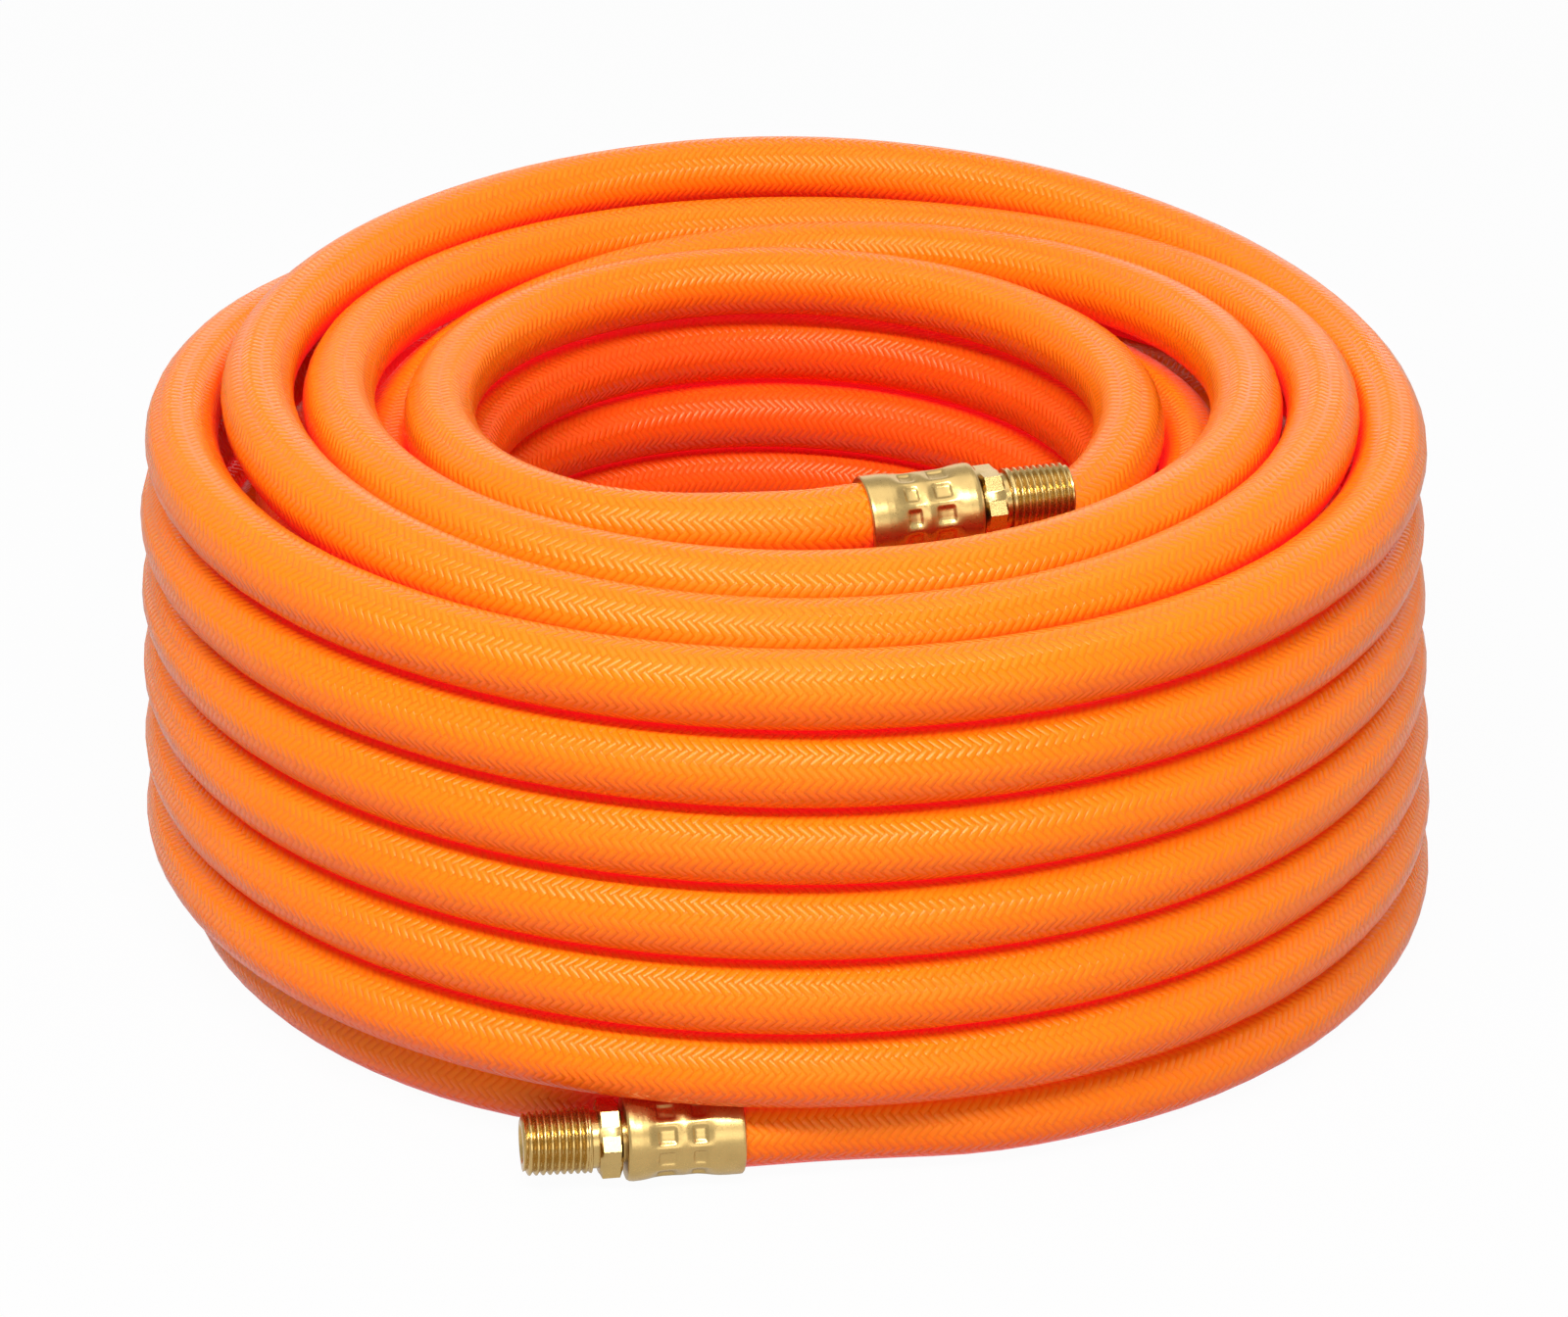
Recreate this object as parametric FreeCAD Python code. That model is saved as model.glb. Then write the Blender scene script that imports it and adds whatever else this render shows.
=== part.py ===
import FreeCAD, Part
import math
import os

# Coiled air hose, 3/8 in bore, with a crimped brass fitting on each end, lying flat on
# the floor.  Millimetres, +Z up, front of the coil towards -Y.
# The hose is wound clockwise as seen from above: front, left, far side, right, front.
# It starts at the inner end on top, lines the hole, climbs back up inside the coil,
# spirals outwards over the top and goes down the outer wall to the outer end.  The turns
# that never show are one plain ring under these.

# Hose
HOSE_DIAMETER = 15.9
SECTION_SIDES = 6
LEAST_GAP = 0.4

# Coil, with radii from its upright axis to the middle of the hose
ROW_PITCH = 16.45
TOP_ROW_HEIGHT = 109.0
OUTER_WALL_ROWS = 6
OUTER_WALL_RADIUS = 133.6
OUTER_WALL_SPREAD = 1.1
OUTER_WALL_LEAN = 0.64
LEFT_SIDE_DROP = 1.5

# Ends of the hose at the ferrule mouths: position, and degrees that each fitting points
# away from the line of the front
INNER_END = FreeCAD.Vector(16.9, -72.4, 117.7)
INNER_END_TURN = 16.0
INNER_END_RISE = 2.5
OUTER_END = FreeCAD.Vector(-5.6, -134.6, 9.5)
OUTER_END_TURN = 190.0
OUTER_END_RISE = 0.0
OUTER_END_STRAIGHT = 8.0

# Hidden turns as one plain ring, with a step where the hose climbs, and the one hidden
# turn whose edge shows at the foot of the left side
CORE_BORE = 67.0
CORE_STEP_RADIUS = 105.6
CORE_STEP_HEIGHT = 62.5
CORE_TOP = 99.4
CORE_RADIUS = 125.2
CORE_FOOT_RADIUS = 122.6
CORE_FOOT_HEIGHT = 16.0
FOOT_TURN_RADIUS = 122.8
FOOT_TURN_HEIGHT = 6.4
FOOT_TURN_ANGLES = (18.0, 125.0)

# Fitting, along its axis from the mouth of the ferrule
FERRULE_LENGTH = 24.0
COLLAR_RADIUS = 9.25
COLLAR_LENGTH = 6.4
COLLAR_ROUNDING = 1.0
CRIMP_RADIUS = 8.45
CRIMP_BORE_START = 5.2
CRIMP_BORE_RADIUS = 7.25
END_WALL_START = 22.4
LIP_RADIUS = 5.2
DIMPLES_AROUND = 8
DIMPLE_ROWS = ((9.2, 2.6), (15.9, 3.5))
DIMPLE_WIDTH = 3.2
DIMPLE_FLOOR_RADIUS = 7.75
STEM_START = 1.4
STEM_ROOT_RADIUS = 4.3
STEM_CREST_RADIUS = 4.95
BARB_PITCH = 7.0
BARB_COUNT = 2
BARB_SLOPE = 2.0
BARB_LAND = 0.8
HEX_START = 24.7
HEX_LENGTH = 4.8
HEX_FLATS = 14.3
HEX_CHAMFER = 0.7
NECK_LENGTH = 1.3
NECK_RADIUS = 5.9
THREAD_LENGTH = 14.0
THREAD_RADIUS = 6.85
THREAD_TAPER = 1.0 / 32.0
THREAD_CHAMFER = 1.0
NIPPLE_BORE_RADIUS = 3.2
BORE_CHAMFER = 0.8

ORIGIN = FreeCAD.Vector(0, 0, 0)
UP = FreeCAD.Vector(0, 0, 1)
# Moves the middle of the whole outline onto the origin
SHIFT = FreeCAD.Vector(-3.8, 0.98, 0)


def export(shape, name):
    shape = shape.copy()
    shape.translate(SHIFT)
    if not shape.isValid() or len(shape.Solids) != 1:
        raise ValueError(name + " is not one valid solid")
    shape.exportStep("parts/" + name + ".step")
    box = shape.BoundBox
    print(name, "volume", round(shape.Volume), "x", round(box.XMin, 2), round(box.XMax, 2),
          "y", round(box.YMin, 2), round(box.YMax, 2), "z", round(box.ZMin, 2), round(box.ZMax, 2))


def outward(quarter):
    """Unit vector from the axis at a number of quarter turns, clockwise from the front."""
    angle = quarter * math.pi / 2
    return FreeCAD.Vector(-math.sin(angle), -math.cos(angle), 0)


def end_direction(turn, rise):
    """Direction in which a fitting points."""
    turn = math.radians(turn)
    rise = math.radians(rise)
    level = FreeCAD.Vector(math.cos(turn), math.sin(turn), 0) * math.cos(rise)
    return level + UP * math.sin(rise)


# Route of the hose.  Each station is (radius, height above the top outer row), and the
# stations are a quarter turn apart.

def inner_wall_stations():
    """Three turns down the wall of the hole, from the left of the first one."""
    stations = [(75.3, 3.5), (75.5, 4.5), (77.0, 2.5)]
    stations += [(73.0, -9.6), (70.4, -12.9), (79.0, -13.6), (75.5, -14.8)]
    stations += [(74.7, -26.6), (74.7, -29.6), (75.0, -31.0), (76.5, -36.5)]
    return stations


def climbing_stations():
    """One turn that slips out behind the wall of the hole and climbs to the top."""
    return [(93.2, -36.5), (89.0, -15.0), (95.0, 2.0)]


def top_stations():
    """The two turns seen on top between the walls, each a hose further out."""
    stations = [(102.2, 9.7), (101.0, 6.0), (98.0, 5.7), (113.9, 3.2)]
    stations += [(118.9, 10.0), (117.3, 3.0), (115.8, 9.1), (131.6, 13.3)]
    return stations


def outer_wall_stations():
    """Down the outer wall, each row stepping down behind the coil."""
    stations = [(135.2, 3.2)]
    for row in range(OUTER_WALL_ROWS):
        radius = OUTER_WALL_RADIUS + OUTER_WALL_SPREAD * row
        lean = OUTER_WALL_LEAN * row
        front = -ROW_PITCH * row
        left = front + 1.0 - LEFT_SIDE_DROP * row
        right = front - ROW_PITCH + 1.3
        if row == OUTER_WALL_ROWS - 1:
            right = OUTER_END.z - TOP_ROW_HEIGHT
        if row == 0:
            stations += [(radius, front), (radius - 1.4, left)]
        else:
            stations += [(radius, front), (radius - lean, left)]
        stations += [(radius, (left + right) / 2), (radius + lean + 1.4, right)]
    return stations


def tail_stations():
    """Down on the floor to the outer end: quarter turns past the right, radius and swell."""
    return [(0.5, 139.6, -15.0), (0.78, 134.2, -8.0)]


def gentle(before, after):
    """Slope at a station that never overshoots its neighbours."""
    if before * after <= 0:
        return 0.0
    return 2 * before * after / (before + after)


def hose_route():
    """Points and directions along the whole hose, from one ferrule mouth to the other."""
    inner = end_direction(INNER_END_TURN, INNER_END_RISE)
    outer = end_direction(OUTER_END_TURN, OUTER_END_RISE)
    stations = inner_wall_stations() + climbing_stations()
    stations += top_stations() + outer_wall_stations()
    first = INNER_END - inner * HOSE_DIAMETER
    last = OUTER_END - outer * OUTER_END_STRAIGHT
    padded = [(-first.y, first.z - TOP_ROW_HEIGHT)] + stations
    padded += [(-last.y, last.z - TOP_ROW_HEIGHT)]
    route = [(INNER_END, inner * -1), (first, inner * -1)]
    for index in range(1, len(padded) - 1):
        radius, height = padded[index]
        out = outward(index)
        along = out.cross(UP)
        swell = (padded[index + 1][0] - padded[index - 1][0]) / 2
        climb = gentle(height - padded[index - 1][1], padded[index + 1][1] - height)
        heading = along * (radius * math.pi / 2) + out * swell + UP * climb
        route.append((out * radius + UP * (TOP_ROW_HEIGHT + height), heading.normalize()))
    for quarter, radius, swell in tail_stations():
        out = outward(len(stations) + quarter)
        heading = out.cross(UP) * (radius * math.pi / 2) + out * swell
        route.append((out * radius + UP * OUTER_END.z, heading.normalize()))
    route += [(last, outer), (OUTER_END, outer)]
    return route


def arc_between(start, heading, end):
    """Arc that leaves the start along the heading, with its radius."""
    chord = end - start
    side = heading.cross(chord).cross(heading).normalize()
    radius = chord.dot(chord) / (2 * chord.dot(side))
    centre = start + side * radius
    middle = ((start + end) * 0.5 - centre).normalize() * radius + centre
    return Part.Arc(start, middle, end).toShape(), radius


def biarc(start, heading, end, last_heading):
    """Two tangent arcs that join two stations."""
    gap = end - start
    total = heading + last_heading
    square = 2 * (1 - heading.dot(last_heading))
    linear = 2 * gap.dot(total)
    reach = (-linear + math.sqrt(linear * linear + 4 * square * gap.dot(gap))) / (2 * square)
    join = (start + heading * reach + end - last_heading * reach) * 0.5
    turn_in, radius_in = arc_between(start, heading, join)
    turn_out, radius_out = arc_between(end, last_heading * -1, join)
    turn_out = Part.Arc(join, turn_out.valueAt(turn_out.FirstParameter
                        + (turn_out.LastParameter - turn_out.FirstParameter) / 2), end).toShape()
    return [turn_in, turn_out], [radius_in, radius_out]


def hose_path():
    route = hose_route()
    edges = [Part.LineSegment(route[0][0], route[1][0]).toShape()]
    radii = []
    for index in range(1, len(route) - 2):
        start, heading = route[index]
        end, last_heading = route[index + 1]
        arcs, sizes = biarc(start, heading, end, last_heading)
        edges += arcs
        radii += sizes
    edges.append(Part.LineSegment(route[-2][0], route[-1][0]).toShape())
    print("turns", round((len(route) - 5) / 4, 2), "bend radii", round(min(radii), 1),
          "to", round(max(radii), 1))
    return Part.Wire(edges)


def least_gap(path):
    """Smallest clear space between two stretches of the hose, measured on points."""
    step = 4.0
    points = path.discretize(Number=int(path.Length / step) + 1)
    step = path.Length / (len(points) - 1)
    skip = int(1.6 * HOSE_DIAMETER / step) + 1
    cell = 24.0
    cells = {}
    for index, point in enumerate(points):
        key = (int(point.x // cell), int(point.y // cell), int(point.z // cell))
        cells.setdefault(key, []).append(index)
    least = (1e9, 0, 0)
    for index, point in enumerate(points):
        for shift_x in (-1, 0, 1):
            for shift_y in (-1, 0, 1):
                for shift_z in (-1, 0, 1):
                    key = (int(point.x // cell) + shift_x, int(point.y // cell) + shift_y,
                           int(point.z // cell) + shift_z)
                    for other in cells.get(key, []):
                        if other > index + skip and other < len(points) - 1:
                            line = points[other + 1] - points[other]
                            part = (point - points[other]).dot(line) / line.dot(line)
                            part = min(1.0, max(0.0, part))
                            far = (point - points[other] - line * part).Length
                            least = min(least, (far, index, other))
    far, index, other = least
    print("least gap", round(far - HOSE_DIAMETER, 2), "at", points[index], points[other])
    return far - HOSE_DIAMETER


def faceted_ring(centre, normal, across, radius):
    """Closed polygon inside the hose's round section."""
    down = normal.cross(across).normalize()
    across = down.cross(normal).normalize()
    corners = []
    for corner in range(SECTION_SIDES + 1):
        angle = 2 * math.pi * corner / SECTION_SIDES
        corners.append(centre + (across * math.cos(angle) + down * math.sin(angle)) * radius)
    return Part.Wire(Part.makePolygon(corners).Edges)


def swept(path, normal, across):
    start = path.Edges[0].valueAt(path.Edges[0].FirstParameter)
    pipe = Part.BRepOffsetAPI.MakePipeShell(path)
    pipe.add(faceted_ring(start, normal, across, HOSE_DIAMETER / 2))
    pipe.build()
    pipe.makeSolid()
    return pipe.shape()


def above_floor(shape):
    box = shape.BoundBox
    floor = Part.makeBox(box.XLength + 20, box.YLength + 20, box.ZMax + 10,
                         FreeCAD.Vector(box.XMin - 10, box.YMin - 10, 0))
    return shape.common(floor)


def make_hose_coil():
    path = hose_path()
    if least_gap(path) < LEAST_GAP:
        raise ValueError("the hose runs too close to itself")
    coil = swept(path, end_direction(INNER_END_TURN, INNER_END_RISE) * -1, UP)
    section = SECTION_SIDES / 2 * math.sin(2 * math.pi / SECTION_SIDES) * HOSE_DIAMETER ** 2 / 4
    print("length", round(path.Length), "volume over section times length",
          round(coil.Volume / (section * path.Length), 4))
    return coil


def revolved(profile, angle=360):
    """Solid of revolution about Z from (radius, height) corners."""
    corners = [FreeCAD.Vector(radius, 0, height) for radius, height in profile]
    face = Part.Face(Part.makePolygon(corners + [corners[0]]))
    return face.revolve(ORIGIN, UP, angle)


def make_hose_core():
    ring = revolved([(CORE_BORE, 0), (CORE_FOOT_RADIUS, 0), (CORE_FOOT_RADIUS, CORE_FOOT_HEIGHT),
                     (CORE_RADIUS, CORE_FOOT_HEIGHT), (CORE_RADIUS, CORE_TOP),
                     (CORE_STEP_RADIUS, CORE_TOP), (CORE_STEP_RADIUS, CORE_STEP_HEIGHT),
                     (CORE_BORE, CORE_STEP_HEIGHT)])
    first, last = FOOT_TURN_ANGLES
    centre = FreeCAD.Vector(0, 0, FOOT_TURN_HEIGHT)
    arc = Part.makeCircle(FOOT_TURN_RADIUS, centre, UP, 270 - last, 270 - first)
    start = arc.valueAt(arc.FirstParameter)
    heading = arc.tangentAt(arc.FirstParameter)
    foot = Part.BRepOffsetAPI.MakePipeShell(Part.Wire(arc))
    foot.add(faceted_ring(start, heading, UP, HOSE_DIAMETER / 2))
    foot.build()
    foot.makeSolid()
    return above_floor(ring.fuse(foot.shape()))


# One end, with the fitting's axis along +X from the mouth of the ferrule.

def turned(profile):
    """Solid of revolution about X from (distance, radius) corners."""
    corners = [FreeCAD.Vector(distance, 0, radius) for distance, radius in profile]
    face = Part.Face(Part.makePolygon(corners + [corners[0]]))
    return face.revolve(ORIGIN, FreeCAD.Vector(1, 0, 0), 360)


def make_ferrule():
    rounding = COLLAR_ROUNDING
    slope = COLLAR_RADIUS - CRIMP_RADIUS
    sleeve = turned([
        (0, HOSE_DIAMETER / 2), (0, COLLAR_RADIUS - rounding / 2), (rounding / 2, COLLAR_RADIUS),
        (COLLAR_LENGTH - rounding, COLLAR_RADIUS), (COLLAR_LENGTH + slope, CRIMP_RADIUS),
        (FERRULE_LENGTH - 0.6, CRIMP_RADIUS), (FERRULE_LENGTH, CRIMP_RADIUS - 0.6),
        (FERRULE_LENGTH, LIP_RADIUS), (END_WALL_START, LIP_RADIUS),
        (END_WALL_START, CRIMP_BORE_RADIUS), (CRIMP_BORE_START, CRIMP_BORE_RADIUS),
        (CRIMP_BORE_START, HOSE_DIAMETER / 2)])
    dimples = []
    for centre, length in DIMPLE_ROWS:
        for column in range(DIMPLES_AROUND):
            corner = FreeCAD.Vector(centre - length / 2, -DIMPLE_WIDTH / 2, DIMPLE_FLOOR_RADIUS)
            dimple = Part.makeBox(length, DIMPLE_WIDTH, 3.0, corner)
            dimple.rotate(ORIGIN, FreeCAD.Vector(1, 0, 0), 360 / DIMPLES_AROUND * column)
            dimples.append(dimple)
    return sleeve.cut(Part.makeCompound(dimples))


def stem_profile():
    """Barbed stem from its tip to the lip of the ferrule, as (distance, radius)."""
    profile = [(STEM_START, STEM_ROOT_RADIUS)]
    for barb in range(BARB_COUNT):
        back = STEM_START + BARB_PITCH * (barb + 1)
        profile += [(back - BARB_LAND - BARB_SLOPE, STEM_ROOT_RADIUS),
                    (back - BARB_LAND, STEM_CREST_RADIUS), (back, STEM_CREST_RADIUS)]
        profile += [(back, STEM_ROOT_RADIUS)]
    profile[-1] = (profile[-1][0], LIP_RADIUS)
    return profile


def make_nipple():
    hex_end = HEX_START + HEX_LENGTH
    thread_start = hex_end + NECK_LENGTH
    thread_end = thread_start + THREAD_LENGTH
    tip = THREAD_RADIUS - THREAD_TAPER * THREAD_LENGTH
    body = turned([(STEM_START, NIPPLE_BORE_RADIUS)] + stem_profile() + [
        (HEX_START + 1, LIP_RADIUS), (HEX_START + 1, NECK_RADIUS),
        (thread_start, NECK_RADIUS), (thread_start, THREAD_RADIUS),
        (thread_end - THREAD_CHAMFER, tip), (thread_end, tip - THREAD_CHAMFER),
        (thread_end, NIPPLE_BORE_RADIUS + BORE_CHAMFER),
        (thread_end - BORE_CHAMFER, NIPPLE_BORE_RADIUS)])
    corner = HEX_FLATS / math.sqrt(3)
    corners = []
    for index in range(7):
        angle = math.radians(60 * index)
        corners.append(FreeCAD.Vector(HEX_START, corner * math.sin(angle), corner * math.cos(angle)))
    prism = Part.Face(Part.makePolygon(corners)).extrude(FreeCAD.Vector(HEX_LENGTH, 0, 0))
    rounded = turned([(HEX_START, 0), (HEX_START, HEX_FLATS / 2 - 0.1),
                      (HEX_START + HEX_CHAMFER, corner), (hex_end - HEX_CHAMFER, corner),
                      (hex_end, HEX_FLATS / 2 - 0.1), (hex_end, 0)])
    bore = Part.makeCylinder(NIPPLE_BORE_RADIUS, 60, ORIGIN, FreeCAD.Vector(1, 0, 0))
    return body.fuse(prism.common(rounded)).cut(bore).removeSplitter()


def make_gripped_end():
    """End of the hose, squeezed between the ferrule and the barbs of the stem."""
    hose = HOSE_DIAMETER / 2
    return turned([(0, STEM_ROOT_RADIUS)] + stem_profile()[1:] + [
        (END_WALL_START, LIP_RADIUS), (END_WALL_START, CRIMP_BORE_RADIUS),
        (CRIMP_BORE_START, CRIMP_BORE_RADIUS), (CRIMP_BORE_START, hose), (0, hose)])


def placed(shape, mouth, turn, rise):
    shape = shape.copy()
    shape.rotate(ORIGIN, FreeCAD.Vector(0, 1, 0), -rise)
    shape.rotate(ORIGIN, UP, turn)
    shape.translate(mouth)
    return shape


def main():
    os.makedirs("parts", exist_ok=True)
    ends = (("inner_end", INNER_END, INNER_END_TURN, INNER_END_RISE),
            ("outer_end", OUTER_END, OUTER_END_TURN, OUTER_END_RISE))
    gripped = [placed(make_gripped_end(), mouth, turn, rise) for name, mouth, turn, rise in ends]
    export(above_floor(make_hose_coil().fuse(gripped)), "hose_coil")
    export(make_hose_core(), "hose_core")
    nipple = make_nipple()
    ferrule = make_ferrule()
    for name, mouth, turn, rise in ends:
        export(placed(nipple, mouth, turn, rise), name + "_nipple")
        export(placed(ferrule, mouth, turn, rise), name + "_ferrule")


main()
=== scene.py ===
import math

import bpy
import numpy as np
from bpy.props import FloatProperty, FloatVectorProperty, IntProperty, PointerProperty
from mathutils import Matrix, Vector


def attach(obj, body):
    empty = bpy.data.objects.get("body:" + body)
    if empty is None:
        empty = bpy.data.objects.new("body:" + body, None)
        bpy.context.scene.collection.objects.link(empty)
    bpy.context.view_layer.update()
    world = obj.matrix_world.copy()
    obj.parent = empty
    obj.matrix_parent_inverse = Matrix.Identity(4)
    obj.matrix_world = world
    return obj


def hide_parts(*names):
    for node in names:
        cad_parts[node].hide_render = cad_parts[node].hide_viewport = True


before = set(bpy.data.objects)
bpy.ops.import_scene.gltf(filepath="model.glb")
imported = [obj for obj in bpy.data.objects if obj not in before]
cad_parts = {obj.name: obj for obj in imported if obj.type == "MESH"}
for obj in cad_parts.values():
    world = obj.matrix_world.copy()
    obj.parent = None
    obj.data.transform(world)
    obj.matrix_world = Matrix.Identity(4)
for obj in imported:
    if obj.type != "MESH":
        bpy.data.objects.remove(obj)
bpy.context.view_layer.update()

bl_info = {
    "name": "Coiled air hose",
    "version": (1, 0, 0),
    "blender": (4, 5, 0),
    "location": "3D View > Sidebar > Air hose",
    "description": "Winds a braided air hose into a coil and crimps a fitting on each end",
    "category": "Add Mesh",
}

# The upright axis of the coil, and the height of the middle of its top outer row
AXIS = Vector((-0.0038, 0.00098, 0.0))
TOP_ROW = 0.109

# Where each ferrule takes the hose: middle of its mouth, and degrees that it points
INNER_MOUTH = AXIS + Vector((0.0169, -0.0724, 0.1177))
INNER_TURN, INNER_RISE = 16.0, 2.5
OUTER_MOUTH = AXIS + Vector((-0.0056, -0.1346, 0.0095))
OUTER_TURN, OUTER_RISE = 190.0, 0.0

# Each end, with the roll of its hexagon and of its crimps in degrees
ENDS = (("inner_end", INNER_MOUTH, INNER_TURN, INNER_RISE, 24.0, 0.0),
        ("outer_end", OUTER_MOUTH, OUTER_TURN, OUTER_RISE, -18.0, 11.0))

# Steps of the line in a quarter turn, and the hidden station at the front of the lowest turn
QUARTER_STEPS = 4
FOOT_STATION = 40

# Radius in millimetres, step by step, where a turn leaves the even line between its stations:
# the lowest turn as it comes out from behind the outer end, the top turn as it climbs onto the
# outer row, and the hose along the floor to the outer end
FOOT_RADII = (118.0, 126.4, 128.8, 129.0)
CLIMB_RADII = (116.6, 119.9, 126.0)
TAIL_RADII = (142.4, 139.6, 134.8)

# Each softbox: name, place, size and share of the power
SOFTBOXES = (
    ("softbox_above", (0.0, 0.05, 1.2), (1.2, 0.8), 0.25),
    ("strip_above_front", (-0.15, -0.75, 1.15), (1.3, 0.14), 1.7),
    ("softbox_front", (0.2, -1.5, 0.45), (1.4, 0.6), 0.38),
    ("softbox_behind", (0.1, 1.5, 0.45), (1.8, 0.8), 0.26),
    ("softbox_right", (1.35, 0.1, 0.4), (0.8, 0.6), 0.12),
)


# Settings that a user would change

class HoseSettings(bpy.types.PropertyGroup):
    diameter: FloatProperty(name="Outside diameter", description="Outside diameter of the hose",
                            default=0.0159, min=0.005, max=0.05, subtype="DISTANCE",
                            unit="LENGTH")
    length: FloatProperty(name="Length", description="Real length of hose in the coil",
                          default=22.86, min=1.0, max=60.0, subtype="DISTANCE",
                          unit="LENGTH")
    row_pitch: FloatProperty(name="Row pitch", description="Height from one outer row to the next",
                             default=0.01645, min=0.01, max=0.05, subtype="DISTANCE",
                             unit="LENGTH")
    outer_radius: FloatProperty(name="Outer row radius", description="Radius of the top outer row",
                                default=0.1336, min=0.05, max=0.5, subtype="DISTANCE",
                                unit="LENGTH")
    sides: IntProperty(name="Sides", description="Faces around the hose", default=20,
                       min=8, max=48)
    carriers: IntProperty(name="Braid carriers", description="Yarn bundles around, each way",
                          default=20, min=4, max=48)
    braid_angle: FloatProperty(name="Braid angle", description="Angle of the yarn to the hose",
                               default=math.radians(52), subtype="ANGLE", unit="ROTATION")
    colour: FloatVectorProperty(name="Hose colour", description="Colour of the hose cover",
                                default=(0.95, 0.185, 0.003), size=3, min=0, max=1,
                                subtype="COLOR")


class FittingSettings(bpy.types.PropertyGroup):
    thread_pitch: FloatProperty(name="Thread pitch", description="Distance between two threads",
                                default=0.001411, min=0.0005, max=0.005, subtype="DISTANCE",
                                unit="LENGTH")
    thread_depth: FloatProperty(name="Thread depth", description="Depth of the thread",
                                default=0.0008, min=0.0, max=0.003, subtype="DISTANCE",
                                unit="LENGTH")
    crimps_around: IntProperty(name="Crimps around", description="Crimp marks around the ferrule",
                               default=10, min=2, max=24)
    crimp_depth: FloatProperty(name="Crimp depth", description="Depth of the crimp marks",
                               default=0.0009, min=0.0, max=0.003, subtype="DISTANCE",
                               unit="LENGTH")
    colour: FloatVectorProperty(name="Brass colour", description="Colour of the brass",
                                default=(0.57, 0.39, 0.145), size=3, min=0, max=1,
                                subtype="COLOR")


class StageSettings(bpy.types.PropertyGroup):
    softbox_power: FloatProperty(name="Softbox power", description="Power of a full softbox",
                                 default=13.0, min=0, max=500, unit="POWER")
    sky: FloatProperty(name="Room light", description="Strength of the even light of the room",
                       default=0.14, min=0, max=5)


# Winding: stations a quarter turn apart, clockwise from the front, each with its radius and its
# height from the top outer row in millimetres

def inner_wall():
    """Down the wall of the hole, from the inner end."""
    stations = [(76.8, 8.0), (75.3, 3.5), (75.5, 4.5), (77.0, 2.5)]
    stations += [(73.0, -9.6), (70.4, -12.9), (79.0, -13.6), (75.5, -14.8)]
    rows, pitch, widening = 5, 16.2, 0.5
    for row in range(rows):
        radius, height = 74.7 + widening * row, -26.2 - pitch * row
        stations += [(radius, height), (radius, height - 3.0), (radius + 0.3, height - 3.6),
                     (radius + 0.6, height - 5.0)]
    stations[-3:] = [(76.7, -94.6), (77.0, -98.0), (77.5, -101.0)]
    return stations


def hidden_layers():
    """The turns between the two walls: up, down and up again, then inwards under the top."""
    low, high = -101.0, -29.5
    quarters = 18
    rise = [low + (high - low) * step / quarters for step in range(quarters + 1)]
    stations = [(92.5, height) for height in rise] + [(98.5, high)]
    stations += [(105.5, height) for height in reversed(rise[:-1])] + [(112.5, low)]
    stations += [(119.5, low), (118.0, low), (127.6, low), (125.5, low + 8), (120.5, low + 15.9)]
    stations += [(119.5, height) for height in rise[4:-1]]
    stations += [(118.0, -25.0), (117.0, -16.5)]
    while len(stations) % 4 != 1:
        stations.append((116.0, -13.6))
    stations += [(108.0, -13.4), (100.0, -13.2), (92.0, -7.5)]
    return stations


def top_rings():
    """The turns that show on top, each a hose further out than the last."""
    stations = [(91.2, -8.4), (88.0, -9.8), (95.5, 3.4), (102.2, 9.7)]
    stations += [(101.0, 6.0), (98.0, 5.7), (113.9, 3.2), (118.9, 10.0)]
    stations += [(117.3, 3.0), (115.8, 9.1), (131.6, 13.3), (134.0, 3.6)]
    return stations


def outer_wall(settings):
    """Down the outer wall; every row steps down behind the coil."""
    stations = []
    pitch = settings.row_pitch * 1000
    rows, widening, lean_step, first_lean = 6, 1.1, 0.64, 1.4
    for row in range(rows):
        radius = settings.outer_radius * 1000 + widening * row
        front = -pitch * row
        left = front + 1.0 - 1.5 * row
        right = front - pitch + 1.3
        if row == rows - 1:
            right = (OUTER_MOUTH.z - TOP_ROW) * 1000
        lean = lean_step * row if row else first_lean
        stations += [(radius, front), (radius - lean, left), (radius, (left + right) / 2),
                     (radius + lean_step * row + first_lean, right)]
    return stations


def pointing(turn, rise):
    """Direction in which a fitting points."""
    turn, rise = math.radians(turn), math.radians(rise)
    return Vector((math.cos(turn) * math.cos(rise), math.sin(turn) * math.cos(rise),
                   math.sin(rise)))


def gentle(before, after):
    """Slope between two steps that never overshoots."""
    if before * after <= 0:
        return 0.0
    return 2 * before * after / (before + after)


def eased(start, end, slope_in, slope_out, t):
    """Value between two stations, with the slope at each."""
    return ((2 * t ** 3 - 3 * t ** 2 + 1) * start + (t ** 3 - 2 * t ** 2 + t) * slope_in
            + (3 * t ** 2 - 2 * t ** 3) * end + (t ** 3 - t ** 2) * slope_out)


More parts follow.
